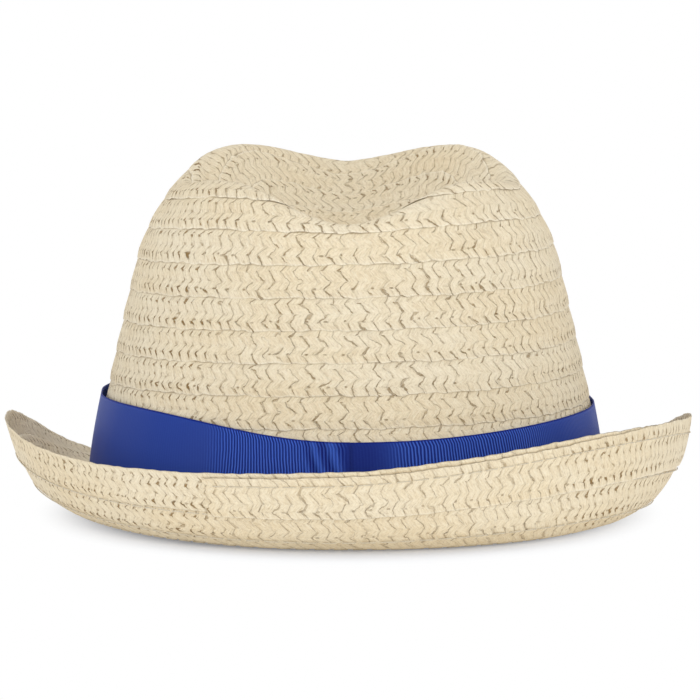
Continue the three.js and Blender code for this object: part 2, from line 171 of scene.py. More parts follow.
# The plait in the braid's material: where its folds turn back, in mm above the lower edge, and
# how they slant between. The map of the braid's inner face starts further on, so that the
# material can tell the two faces apart.
FIRST_FOLD_TOP, FIRST_FOLD_SLANT = 2.7, 0.72
FOLD_BANDS = (2.7, 5.4, -0.76), (5.4, 9.0, 0.76), (9.0, 11.6, -0.74), (11.6, 20.0, 0.72)
# FOLD_TURNS: height of each turn-back and how strongly its painted shade shows
FOLD_TURNS = (2.5, 1.0), (5.4, 0.6), (9.2, 0.9), (11.8, 0.8)
INNER_FACE_SHIFT = 20

# The hatband and the sweatband. The hatband's four low edges read as the break's heights do,
# its two fullnesses right and left.
RIBBON_WIDTH = 25
RIBBON_LAP = 15
RIBBON_LAP_DEG = 262
RIBBON_LOW_EDGES = (18.4, 21.8, 13.9, 20)
RIBBON_FULLNESSES = (4, 8)
RIBBON_LAP_GAP = 0.15
RIBBON_LAP_RISE = 16
RIBBON_WAVES = (61, 0.14, 0.4), (27, 0.08, 1.9)
SWEATBAND_WIDTH = 30
SWEATBAND_ABOVE_BREAK = 1
SWEATBAND_JOINT_DEG = 270
SWEATBAND_JOINT_GAP = 0.4
SWEATBAND_WAVES = (43, 0.12, 0.6), (17, 0.06, 0.2)
BAND_STEPS_ACROSS = 22
BAND_STEP = 1.2

# How finely the hat's own surface and the length of a turn are worked out
TURN_STEPS = 720
DOME_STEPS = 140
WALL_STEPS = 60
BREAK_STEPS = 12
BRIM_STEPS = 50

# The stage, in metres
CAMERA_SENSOR = 36
PICTURE_MIDDLE = (0.000336, -0.00488, 0.05526)
PICTURE_RAISE = 0.00059
LIGHT_AIM = (0, 0, 0.05)
LIGHTS = (
    ("key", (0.2, -2.1, 0.5), 1.6), ("overhead", (0, -0.2, 2.0), 1.6),
    ("fill_left", (-1.8, -0.9, 0.4), 1.2), ("fill_right", (1.8, -0.9, 0.4), 1.2))
SHADOW_START, SHADOW_END = 0.112, 0.154
SHADOW_SQUEEZE = (1.4, 1, 1)


# Sizes and colours a user would change

def a_length(name, description, default, least, most):
    return FloatProperty(
        name=name, description=description, default=default, min=least, max=most,
        precision=5, unit="LENGTH")


def a_colour(name, description, default):
    return FloatVectorProperty(
        name=name, description=description, default=default, min=0, max=1, size=3,
        subtype="COLOR")


def a_power(name, description, default):
    return FloatProperty(
        name=name, description=description, default=default, min=0, max=500, unit="POWER")


class FedoraBraid(bpy.types.PropertyGroup):
    thickness: a_length("Thickness", "Thickness of the straw braid", 0.0006, 0.0003, 0.001)
    step_out: a_length(
        "Lap Step", "How far each turn stands off the turn it lies over", 0.0007, 0.0003, 0.0013)
    plait_pitch: a_length(
        "Plait Pitch", "Distance from one fold of the plait to the next", 0.0041, 0.002, 0.008)
    stitch_pitch: a_length(
        "Stitch Pitch", "Length of one stitch of the seam between two turns", 0.0056, 0.003, 0.01)
    straw_colour: a_colour("Straw Colour", "Main colour of the paper straw", (0.806, 0.694, 0.499))
    pale_colour: a_colour("Pale Straw Colour", "Colour of the palest straws", (0.878, 0.781, 0.592))
    # The colour of the painted shade in the folds, hooks, holes and under each turn's edge; the darker
    # fibres and specks take it too
    fold_shade_and_fibre_colour: a_colour(
        "Fold Colour", "Colour down in the folds between the straws", (0.300, 0.190, 0.075))
    thread_colour: a_colour("Thread Colour", "Colour of the sewing thread", (0.800, 0.720, 0.560))
    fineness: IntProperty(
        name="Fineness", description="Steps across the outer face of the braid",
        default=12, min=6, max=24)


class FedoraBands(bpy.types.PropertyGroup):
    ribbon_thickness: a_length(
        "Ribbon Thickness", "Thickness of the grosgrain ribbon", 0.0005, 0.0002, 0.001)
    ribbon_stand_off: a_length(
        "Ribbon Stand-off", "How far the ribbon stands off the hat's own surface",
        0.0019, 0.0014, 0.003)
    ribbon_left_loft: a_length(
        "Left Loft", "How much further the ribbon stands off at the left", 0.0009, 0, 0.004)
    rib_pitch: a_length(
        "Rib Pitch", "Distance between two ribs of the grosgrain", 0.00109, 0.0005, 0.003)
    # The ribbon's blue where the rib crests catch the light: a painted highlight
    lit_rib_colour: a_colour(
        "Ribbon Colour", "Colour of the ribbon on its ribs", (0.060, 0.155, 0.700))
    # The ribbon's blue in the painted shade between the ribs and in the shaded zones
    rib_gap_shade_colour: a_colour(
        "Rib Gap Colour", "Colour of the ribbon between its ribs", (0.002, 0.010, 0.150))
    sweatband_thickness: a_length(
        "Sweatband Thickness", "Thickness of the woven tape inside the crown",
        0.0009, 0.0003, 0.001)
    sweatband_stand_off: a_length(
        "Sweatband Stand-off", "How far inside the hat's own surface the tape lies",
        0.0019, 0.0015, 0.004)
    sweatband_colour: a_colour("Sweatband Colour", "Colour of the woven tape", (0.800, 0.740, 0.630))


class FedoraStage(bpy.types.PropertyGroup):
    camera_distance: FloatProperty(
        name="Camera Distance", description="Distance of the camera from the hat",
        default=1.6, min=0.5, max=10, unit="LENGTH")
    camera_height: FloatProperty(
        name="Camera Elevation", description="Angle of the camera above the horizon",
        default=math.radians(5), min=0, max=math.radians(80), subtype="ANGLE")
    camera_lens: FloatProperty(
        name="Lens", description="Focal length in millimetres on a 36 mm sensor",
        default=237.2, min=20, max=600)
    # The floor's glow is painted light that falls on the hat from below; the camera doesn't see it
    floor_glow: FloatProperty(
        name="Floor Glow", description="How much the floor near the hat is lifted towards white",
        default=0.2, min=0, max=1)
    floor_half: FloatProperty(
        name="Floor Half Side", description="Half the side of the square floor",
        default=6, min=1, max=20, unit="LENGTH")
    key_power: a_power("Key Light Power", "Power of the large soft light near the camera", 10.4)
    overhead_power: a_power(
        "Overhead Light Power", "Power of the large soft light above the hat", 12.5)
    fill_power: a_power("Fill Light Power", "Power of each soft light at the sides", 9.5)
    surround: FloatProperty(
        name="Surround", description="Light from the white surround", default=0.45, min=0, max=2)


# The hat's own surface

def around(angle, values):
    right, left, back, front = values
    c, s = np.cos(angle), np.sin(angle)
    return np.where(c > 0, right, left) * c * c + np.where(s < 0, back, front) * s * s


def ease(share):
    t = np.clip(share, 0, 1)
    return t * t * (3 - 2 * t)


def oval_radius(angle, half_width, half_length, power):
    across = np.abs(np.cos(angle) / half_width) ** power
    along = np.abs(np.sin(angle) / half_length) ** power
    return (across + along) ** (-1 / power)


def wall_share(height):
    lean = math.tan(math.radians(WALL_LEAN_DEG)) / CROWN_HALF_WIDTH
    above = (height - LEAN_START_HEIGHT) / LEAN_BLEND_HEIGHT
    return 1 - lean * LEAN_BLEND_HEIGHT * np.log1p(np.exp(above))


def dent_height(x, y):
    along = y + DENT_BACK_OFFSET
    back = DENT_BACK_RISE * (along / DENT_BACK_LENGTH) ** 2
    front = DENT_FRONT_RISE * (along / DENT_FRONT_LENGTH) ** 2
    middle = np.exp(-((along / DENT_SIDE_REACH) ** 2))
    side = DENT_END_SIDE_RISE + (DENT_SIDE_RISE - DENT_END_SIDE_RISE) * middle
    aside = (np.abs(x) / DENT_HALF_WIDTH) ** DENT_SIDE_POWER
    return DENT_FLOOR_HEIGHT + np.where(along < 0, back, front) + side * aside


def creased_height(x, y, block):
    dent = dent_height(x, y)
    apart = np.abs(block - dent) / RIDGE_SOFTNESS
    return np.minimum(block, dent) - RIDGE_SOFTNESS * np.log1p(np.exp(-apart))


def pinch_depth(angle, height):
    up = (height - PINCH_HEIGHT) / PINCH_HALF_HEIGHT
    from_front = np.abs(np.arctan2(np.cos(angle), np.sin(angle)))
    aside = (from_front - math.radians(PINCH_ANGLE_DEG)) / math.radians(PINCH_HALF_ANGLE_DEG)
    return PINCH_DEPTH * np.exp(-up * up - aside * aside)


def rim_height(angle):
    c, s = np.cos(angle), np.sin(angle)
    side = np.where(c > 0, RIM_HEIGHT_RIGHT, RIM_HEIGHT_LEFT)
    end = np.where(s < 0, RIM_HEIGHT_BACK, RIM_HEIGHT_FRONT)
    weight = np.where(
        (c > 0) & (s < 0), 1 - np.abs(s) ** RIM_RIGHT_FULLNESS, np.abs(c) ** RIM_LEFT_SHARPNESS)
    front_right = np.maximum(0, np.cos(angle - math.pi / 4)) ** 4
    right_twist = RIM_TWIST_HEIGHT * (1 - RIM_FRONT_RIGHT_RAISE_SHARE * front_right)
    twist = np.where(c > 0, right_twist, RIM_LEFT_TWIST_HEIGHT)
    return side * weight + end * (1 - weight) - twist * np.sin(2 * angle)


def ribbon_low(angle):
    right, left, back, front = RIBBON_LOW_EDGES
    c, s = np.cos(angle), np.sin(angle)
    side = np.where(c > 0, right, left)
    end = np.where(s < 0, back, front)
    return side + (end - side) * np.abs(s) ** np.where(c > 0, *RIBBON_FULLNESSES)


def hat_lines(angles):
    """Radii, heights and lengths from the tip of the lines from tip to rim, one row an angle."""
    a = angles[:, None]
    base = oval_radius(a, CROWN_HALF_WIDTH, CROWN_HALF_LENGTH, CROWN_OVAL_POWER)
    dome = np.linspace(0, math.pi / 2, DOME_STEPS + 1)[None, :]
    dome_height = SHOULDER_HEIGHT + (BLOCK_HEIGHT - SHOULDER_HEIGHT) * (
        np.abs(np.cos(dome)) ** (2 / DOME_HEIGHT_POWER))
    dome_share = wall_share(dome_height) * np.sin(dome) ** (2 / DOME_WIDTH_POWER)
    wall_end = around(a, BREAK_HEIGHTS) + BREAK_RADIUS
    wall = np.linspace(0, 1, WALL_STEPS + 1)[None, 1:]
    wall_height = SHOULDER_HEIGHT + (wall_end - SHOULDER_HEIGHT) * wall
    height = np.hstack([np.repeat(dome_height, len(angles), 0), wall_height])
    share = np.hstack([np.repeat(dome_share, len(angles), 0), wall_share(wall_height)])
    radius = base * share - pinch_depth(a, height) * ease(share)
    z = creased_height(radius * np.cos(a), radius * np.sin(a), height)
    crown_end = radius.shape[1] - 1

    start_slope = np.radians(around(a, BRIM_START_SLOPES_DEG))
    end_slope = np.radians(around(a, BRIM_END_SLOPES_DEG))
    first_slope = math.radians(BREAK_WALL_ANGLE_DEG)
    sweep = start_slope - first_slope
    slopes = first_slope + sweep * ((np.arange(BREAK_STEPS) + 0.5) / BREAK_STEPS)[None, :]
    step = BREAK_RADIUS * sweep / BREAK_STEPS
    bend_r = radius[:, -1:] + np.cumsum(np.cos(slopes) * step, 1)
    bend_z = z[:, -1:] + np.cumsum(np.sin(slopes) * step, 1)

    brim_length = np.where(np.sin(a) < 0, BRIM_BACK_LENGTH, BRIM_FRONT_LENGTH)
    rim_r = oval_radius(a, BRIM_HALF_WIDTH, brim_length, BRIM_OVAL_POWER)
    rim_z = rim_height(a)
    r, h = bend_r[:, -1:], bend_z[:, -1:]
    span = np.hypot(rim_r - r, rim_z - h)
    t = np.linspace(0, 1, BRIM_STEPS + 1)[None, 1:]

    def curl(start, end, from_start, from_end):
        leave = start + from_start * span * BRIM_START_PULL_SHARE
        arrive = end - from_end * span * BRIM_END_PULL_SHARE
        return ((1 - t) ** 3 * start + 3 * (1 - t) ** 2 * t * leave
                + 3 * (1 - t) * t * t * arrive + t ** 3 * end)

    brim_r = curl(r, rim_r, np.cos(start_slope), np.cos(end_slope))
    brim_z = curl(h, rim_z, np.sin(start_slope), np.sin(end_slope))
    radius = np.hstack([radius, bend_r, brim_r])
    z = np.hstack([z, bend_z, brim_z])
    steps = np.hypot(np.diff(radius, axis=1), np.diff(z, axis=1))
    lengths = np.hstack([np.zeros((len(angles), 1)), np.cumsum(steps, 1)])
    return radius, z, lengths, crown_end


def braid_angle(part):
    return math.radians(BRAID_END_DEG) - FULL_TURN * part


def rim_row(part):
    """Row of the rim, lowest where the last turn has slipped under the one before it."""
    fall = part * (1 - BRAID_SLIP_SHARE) / BRAID_SLIP_SHARE
    return TURN_COUNT + OVERLAP_ROWS + PEEK_ROWS - np.minimum(fall, 1 - part)


class HatSurface:
    """The hat's middle surface by direction and by braid rows from the tip."""

    ANGLES = 1440
    ROWS_EACH = 24
    ROWS_PAST_RIM = 0.6

    def __init__(self):
        self.angles = np.arange(self.ANGLES) * FULL_TURN / self.ANGLES
        radius, z, self.lengths, crown_end = hat_lines(self.angles)
        self.wall = slice(DOME_STEPS, crown_end + 1)
        self.wall_heights = z[:, self.wall]
        self.shoulders = self.lengths[:, DOME_STEPS]
        self.breaks = self.lengths[:, crown_end]
        self.break_rows = DOME_TURN_COUNT + (SHOULDER_HEIGHT - z[:, crown_end]) / WALL_ROW_HEIGHT
        rims = rim_row((math.radians(BRAID_END_DEG) - self.angles) / FULL_TURN % 1)
        count = round((rims.max() + self.ROWS_PAST_RIM) * self.ROWS_EACH) + 1
        rows = np.arange(count) / self.ROWS_EACH
        self.places = np.zeros((self.ANGLES, count, 3))
        for i, angle in enumerate(self.angles):
            total = self.lengths[i, -1]
            knots = (0, DOME_TURN_COUNT, self.break_rows[i], rims[i])
            wanted = np.interp(rows, knots, (0, self.shoulders[i], self.breaks[i], total))
            brim_row = (total - self.breaks[i]) / (rims[i] - self.break_rows[i])
            past = np.maximum(0, rows - rims[i]) * brim_row
            last = total - self.lengths[i, -2]
            r = np.interp(wanted, self.lengths[i], radius[i])
            h = np.interp(wanted, self.lengths[i], z[i])
            r = r + past * (radius[i, -1] - radius[i, -2]) / last
            h = h + past * (z[i, -1] - z[i, -2]) / last
            self.places[i] = np.stack([r * math.cos(angle), r * math.sin(angle), h], 1)
        down = np.gradient(self.places, axis=1)
        along = np.roll(self.places, -1, 0) - np.roll(self.places, 1, 0)
        out = np.cross(down, along)
        out[:, 0] = (0, 0, 1)
        self.outward = out / np.linalg.norm(out, axis=2, keepdims=True)

    def _mixed(self, table, angle, row):
        i = (np.asarray(angle) % FULL_TURN) / FULL_TURN * self.ANGLES
        j = np.clip(np.asarray(row) * self.ROWS_EACH, 0, table.shape[1] - 1.001)
        i, j = np.broadcast_arrays(i, j)
        i0, j0 = np.floor(i).astype(int), np.floor(j).astype(int)
        fi, fj = (i - i0)[..., None], (j - j0)[..., None]
        i0, i1 = i0 % self.ANGLES, (i0 + 1) % self.ANGLES
        return ((table[i0, j0] * (1 - fi) + table[i1, j0] * fi) * (1 - fj)
                + (table[i0, j0 + 1] * (1 - fi) + table[i1, j0 + 1] * fi) * fj)

    def raised(self, angle, row, lift):
        """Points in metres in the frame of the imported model, not lower than the table."""
        out = self._mixed(self.outward, angle, row)
        out = out / np.linalg.norm(out, axis=-1, keepdims=True)
        place = self._mixed(self.places, angle, row) + out * np.asarray(lift)[..., None]
        place = place - (OUTLINE_MIDDLE_X, OUTLINE_MIDDLE_Y, TABLE_HEIGHT)
        place[..., 2] = np.maximum(place[..., 2], 0)
        return place * MM

    def by_angle(self, values, angle):
        share = (np.asarray(angle) % FULL_TURN) / FULL_TURN * self.ANGLES
        return np.interp(share, np.arange(self.ANGLES + 1), np.append(values, values[0]))

    def lengths_at_heights(self, heights):
        """For each line, the length from the tip at which its wall has come down to a height."""
        lengths = self.lengths[:, self.wall]
        lines = zip(heights, self.wall_heights, lengths)
        return np.array([np.interp(-height, -line, way) for height, line, way in lines])

    def wall_row(self, angle, length):
        shoulder = self.by_angle(self.shoulders, angle)
        share = (length - shoulder) / (self.by_angle(self.breaks, angle) - shoulder)
        return DOME_TURN_COUNT + share * (self.by_angle(self.break_rows, angle) - DOME_TURN_COUNT)


surface = HatSurface()


# Shapes

def wander(u, waves):
    """A smooth uneven line along a strip."""
    return sum(size * np.sin(FULL_TURN * u / length + phase) for length, size, phase in waves)


def rolled_strip(name, along, loop, place, uv_of, uv_name):
    """A closed strip made from a grid: place gives the points from step and loop shares."""
    bm = bmesh.new()
    bm.loops.layers.uv.new(uv_name)
    bmesh.ops.create_grid(bm, x_segments=along, y_segments=loop, size=1, calc_uvs=True)
    mesh = bpy.data.meshes.new(name)
    bm.to_mesh(mesh)
    bm.free()
    corner = np.empty(len(mesh.vertices) * 3, np.float32)
    mesh.vertices.foreach_get("co", corner)
    corner = corner.reshape(-1, 3)
    i = np.round((corner[:, 0] + 1) / 2 * along).astype(int)
    j = np.round((corner[:, 1] + 1) / 2 * loop).astype(int)
    mesh.vertices.foreach_set("co", place(i, j % loop).astype(np.float32).ravel())
    layer = mesh.uv_layers[uv_name]
    uv = np.empty(len(layer.data) * 2, np.float32)
    layer.data.foreach_get("uv", uv)
    uv = uv.reshape(-1, 2)
    ui = np.round(uv[:, 0] * along).astype(int)
    uj = np.round(uv[:, 1] * loop).astype(int)
    layer.data.foreach_set("uv", uv_of(ui, uj).astype(np.float32).ravel())
    bm = bmesh.new()
    bm.from_mesh(mesh)
    bmesh.ops.remove_doubles(bm, verts=bm.verts, dist=1e-6)
    ends = [edge for edge in bm.edges if edge.is_boundary]
    bmesh.ops.holes_fill(bm, edges=ends, sides=0)
    for edge in ends:
        edge.smooth = False
    bmesh.ops.recalc_face_normals(bm, faces=bm.faces)
    bm.to_mesh(mesh)
    bm.free()
    mesh.shade_smooth()
    return mesh


def new_piece(name, mesh, material, body, slot, *nodes):
    mesh.materials.clear()
    mesh.materials.append(material)
    piece = bpy.data.objects.new(name, mesh)
    bpy.context.scene.collection.objects.link(piece)
    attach(piece, body)
    if nodes:
        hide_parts(*nodes)
    return piece


def braid_section(thickness, fineness):
    """Loop round the braid's section: shares of its width from the upper edge, and the side."""
    round_share = thickness / 2 / BRAID_WIDTH
    outer = [(s, 1) for s in np.linspace(round_share, 1 - round_share, fineness)]
    lower = [(1 - round_share + round_share * math.cos(a), math.sin(a)) for a in (0.9, 0, -0.9)]
    inner = [(s, -1) for s in np.linspace(1 - round_share, round_share, fineness - 4)]
    upper = [(round_share - round_share * math.cos(a), math.sin(a)) for a in (-0.7, 0.7)]
    return np.array(outer + lower + inner + upper)


def turn_rows(turn, part, share):
    """Row from the tip of a place across a turn of the braid."""
    low = turn + part + 1 + OVERLAP_ROWS
    peek = PEEK_ROWS * ease((part - BRAID_PEEK_FROM_SHARE) / BRAID_PEEK_EASE_SHARE)
    if turn == TURN_COUNT - 1:
        low = rim_row(part) - peek
    if turn == TURN_COUNT - 2:
        low = low + peek
    return low - (1 + 2 * OVERLAP_ROWS + TUCK_ROWS) * (1 - share)


def turn_length(turn):
    part = np.linspace(0, 1, TURN_STEPS + 1)
    line = surface.raised(braid_angle(part), turn + part + 0.5, np.zeros(len(part))) / MM
    return float(np.linalg.norm(np.diff(line, axis=0), axis=1).sum())


def make_turn(turn, start, length, braid):
    """One turn of the braid, lying over the turn below it."""
    thickness, step_out = braid.thickness / MM, braid.step_out / MM
    section = braid_section(thickness, braid.fineness)
    steps = max(60, round(length / BRAID_STEP))
    loop = len(section)
    unevenness = RIM_UNEVENNESS if turn >= TURN_COUNT - RIM_TURNS else 1

    def place(i, j):
        part = i / steps
        u = start + length * part
        share, side = section[j, 0], section[j, 1]
        row = turn_rows(turn, part, share)
        pleats = PLEAT_SIZE * np.abs(np.sin(math.pi * u / (braid.plait_pitch / MM)))
        lower = (pleats + wander(u, LOWER_EDGE_WAVES)) * unevenness / BRAID_PITCH
        row = row + lower * ease((share - 0.7) / 0.3)
        row = row - wander(u, UPPER_EDGE_WAVES) / BRAID_PITCH * ease((0.3 - share) / 0.3)
        low_press, high_press = 0.5 * ease((share - 0.8) / 0.2), 0.5 * ease((0.2 - share) / 0.2)
        pressed = side * (1 - low_press - high_press) + high_press - low_press
        lift = BRAID_LIFT + step_out * (row - turn - part - 0.5) + pressed * thickness / 2
        lift = lift + BRAID_BULGE * np.sin(math.pi * share) * np.where(side > 0, 1, 0.4)
        lift = lift + wander(u, FACE_WAVES) * (0.4 + 0.6 * share)
        return surface.raised(braid_angle(part), row, lift)

    def uv_of(i, j):
        share, side = section[j % loop, 0], section[j % loop, 1]
        up = np.where(side < 0, INNER_FACE_SHIFT + share * BRAID_WIDTH, (1 - share) * BRAID_WIDTH)
        return np.stack([start + length * i / steps, up], 1)

    number = turn if turn < CROWN_TURN_COUNT else turn - CROWN_TURN_COUNT + 1
    where = "crown" if turn < CROWN_TURN_COUNT else "brim"
    name = f"{where}_turn_{number:02d}"
    return name, rolled_strip(name + "_braid", steps, loop, place, uv_of, "braid")


def make_tip(braid):
    """The start of the braid, coiled up into a small pleated disc."""
    thickness, step_out = braid.thickness / MM, braid.step_out / MM
    steps = TIP_STEPS
    edge_row = 1 + OVERLAP_ROWS
    lift = BRAID_LIFT + step_out * (0.5 + OVERLAP_ROWS)
    outwards = np.linspace(0.01, 0.985, TIP_RINGS)
    sides = np.concatenate([np.ones(TIP_RINGS), [0], -np.ones(TIP_RINGS)])
    shares = np.concatenate([outwards, [1], outwards[::-1]])
    loop = len(sides)

    def place(i, j):
        part = i / steps
        row = shares[j] * (edge_row + part)
        dip = TIP_DIP * ease((TIP_DIP_SHARE - shares[j]) / TIP_DIP_SHARE)
        return surface.raised(braid_angle(part), row, lift + sides[j] * (thickness / 2 - dip))

    def uv_of(i, j):
        part = i / steps
        j = j % loop
        return np.stack([TIP_LENGTH * part, (1 - shares[j]) * (edge_row + part) * BRAID_PITCH], 1)

    return rolled_strip("tip_coil_braid", steps, loop, place, uv_of, "braid")


def make_band(name, start_deg, run, width, thickness, low_lengths, stand_off, uv_name):
    """A strip of cloth on the crown's wall. run is its sweep, low_lengths the way from the tip to
    its lower edge on every line of the hat. stand_off is a function of the share of the sweep,
    the place along it in mm and the share of the width from the lower edge."""
    steps = round(run * (CROWN_HALF_WIDTH + CROWN_HALF_LENGTH) / 2 / BAND_STEP)
    upwards = np.linspace(0.004, 0.996, BAND_STEPS_ACROSS)
    ups = np.concatenate([upwards, [1], upwards[::-1], [0]])
    sides = np.concatenate([np.ones(BAND_STEPS_ACROSS), [0], -np.ones(BAND_STEPS_ACROSS), [0]])
    loop = len(ups)
    angles = math.radians(start_deg) + run * np.arange(steps + 1) / steps
    low = surface.by_angle(low_lengths, angles)
    shares = np.arange(steps + 1) / steps
    middle = surface.raised(
        angles, surface.wall_row(angles, low - width / 2),
        stand_off(shares, np.zeros(len(shares)), 0.5))
    along = np.concatenate([[0], np.cumsum(np.linalg.norm(np.diff(middle, axis=0), axis=1))]) / MM

    def place(i, j):
        angle = angles[i]
        row = surface.wall_row(angle, low[i] - width * ups[j])
        lift = stand_off(i / steps, along[i], ups[j]) + sides[j] * thickness / 2
        return surface.raised(angle, row, lift)

    def uv_of(i, j):
        return np.stack([along[i], ups[j % loop] * width], 1)

    return rolled_strip(name, steps, loop, place, uv_of, uv_name), along[-1]


# Materials

class Signal:
    """A socket in a material, so that shader maths reads as an expression."""

    def __init__(self, maker, socket):
        self.maker, self.socket = maker, socket

    def _math(self, operation, *values):
        return self.maker.node(
            "ShaderNodeMath", {"operation": operation}, dict(enumerate(values)))

    def __add__(self, other):
        return self._math("ADD", self, other)

    __radd__ = __add__

    def __sub__(self, other):
        return self._math("SUBTRACT", self, other)

    def __rsub__(self, other):
        return self._math("SUBTRACT", other, self)

    def __mul__(self, other):
        return self._math("MULTIPLY", self, other)

    __rmul__ = __mul__

    def __truediv__(self, other):
        return self._math("DIVIDE", self, other)

    def __abs__(self):
        return self._math("ABSOLUTE", self)

    def fract(self):
        return self._math("FRACT", self)

    def floor(self):
        return self._math("FLOOR", self)

    def sine(self):
        return self._math("SINE", self)

    def least(self, other):
        return self._math("MINIMUM", self, other)

    def most(self, other):
        return self._math("MAXIMUM", self, other)

    def above(self, edge):
        return self._math("GREATER_THAN", self, edge)

    def ramp(self, low, high):
        """Smooth step from 0 to 1 between two values."""
        return self.maker.node(
            "ShaderNodeMapRange", {"interpolation_type": "SMOOTHSTEP"}, {0: self, 1: low, 2: high})


class Nodes:
    """The nodes of a material or a world, made and linked in one step."""

    def __init__(self, owner):
        owner.use_nodes = True
        self.nodes = owner.node_tree.nodes
        self.links = owner.node_tree.links

    def node(self, kind, settings=None, values=None, out=0):
        made = self.nodes.new(kind)
        for key, value in (settings or {}).items():
            setattr(made, key, value)
        for socket, value in (values or {}).items():
            self.put(made.inputs[socket], value)
        return Signal(self, made.outputs[out])

    def put(self, socket, value):
        if isinstance(value, Signal):
            self.links.new(value.socket, socket)
        else:
            socket.default_value = value

    def end_in(self, output, shader):
        """Link a shader to an output node."""
        self.put(self.nodes.new(output).inputs["Surface"], shader)


class Finish(Nodes):
    """A procedural material on one Principled shader."""

    def __init__(self, name, **constants):
        self.material = bpy.data.materials.new(name)
        super().__init__(self.material)
        self.shader = next(n for n in self.nodes if n.type == "BSDF_PRINCIPLED")
        for socket, value in constants.items():
            self.feed(socket.replace("_", " "), value)

    def feed(self, socket, value):
        self.put(self.shader.inputs[socket], value)

    def uv(self, name):
        """The piece's own map as two signals in millimetres."""
        return self.parts(self.node("ShaderNodeUVMap", {"uv_map": name}))[:2]

    def parts(self, vector):
        split = self.nodes.new("ShaderNodeSeparateXYZ")
        self.links.new(vector.socket, split.inputs[0])
        return [Signal(self, socket) for socket in split.outputs]

    def vector(self, x, y, z=0.0):
        return self.node("ShaderNodeCombineXYZ", None, {0: x, 1: y, 2: z})

    def noise(self, where, scale=1.0, detail=2.0, roughness=0.5):
        return self.node(
            "ShaderNodeTexNoise", {"noise_dimensions": "3D"},
            {"Vector": where, "Scale": scale, "Detail": detail, "Roughness": roughness})

    def chance(self, x, y, z=0.0):
        """A number from 0 to 1 that is the same all over a cell."""
        return self.node(
            "ShaderNodeTexWhiteNoise", {"noise_dimensions": "3D"}, {"Vector": self.vector(x, y, z)})

    def colours(self, share, first, second):
        return self.node(
            "ShaderNodeMix", {"data_type": "RGBA", "clamp_factor": True},
            {0: share, 6: first, 7: second}, out=2)

    def bump(self, height, distance, strength=1.0):
        normal = self.node(
            "ShaderNodeBump", None, {"Strength": strength, "Distance": distance, "Height": height})
        self.feed("Normal", normal)


def rgba(colour):
    return (*colour, 1.0)


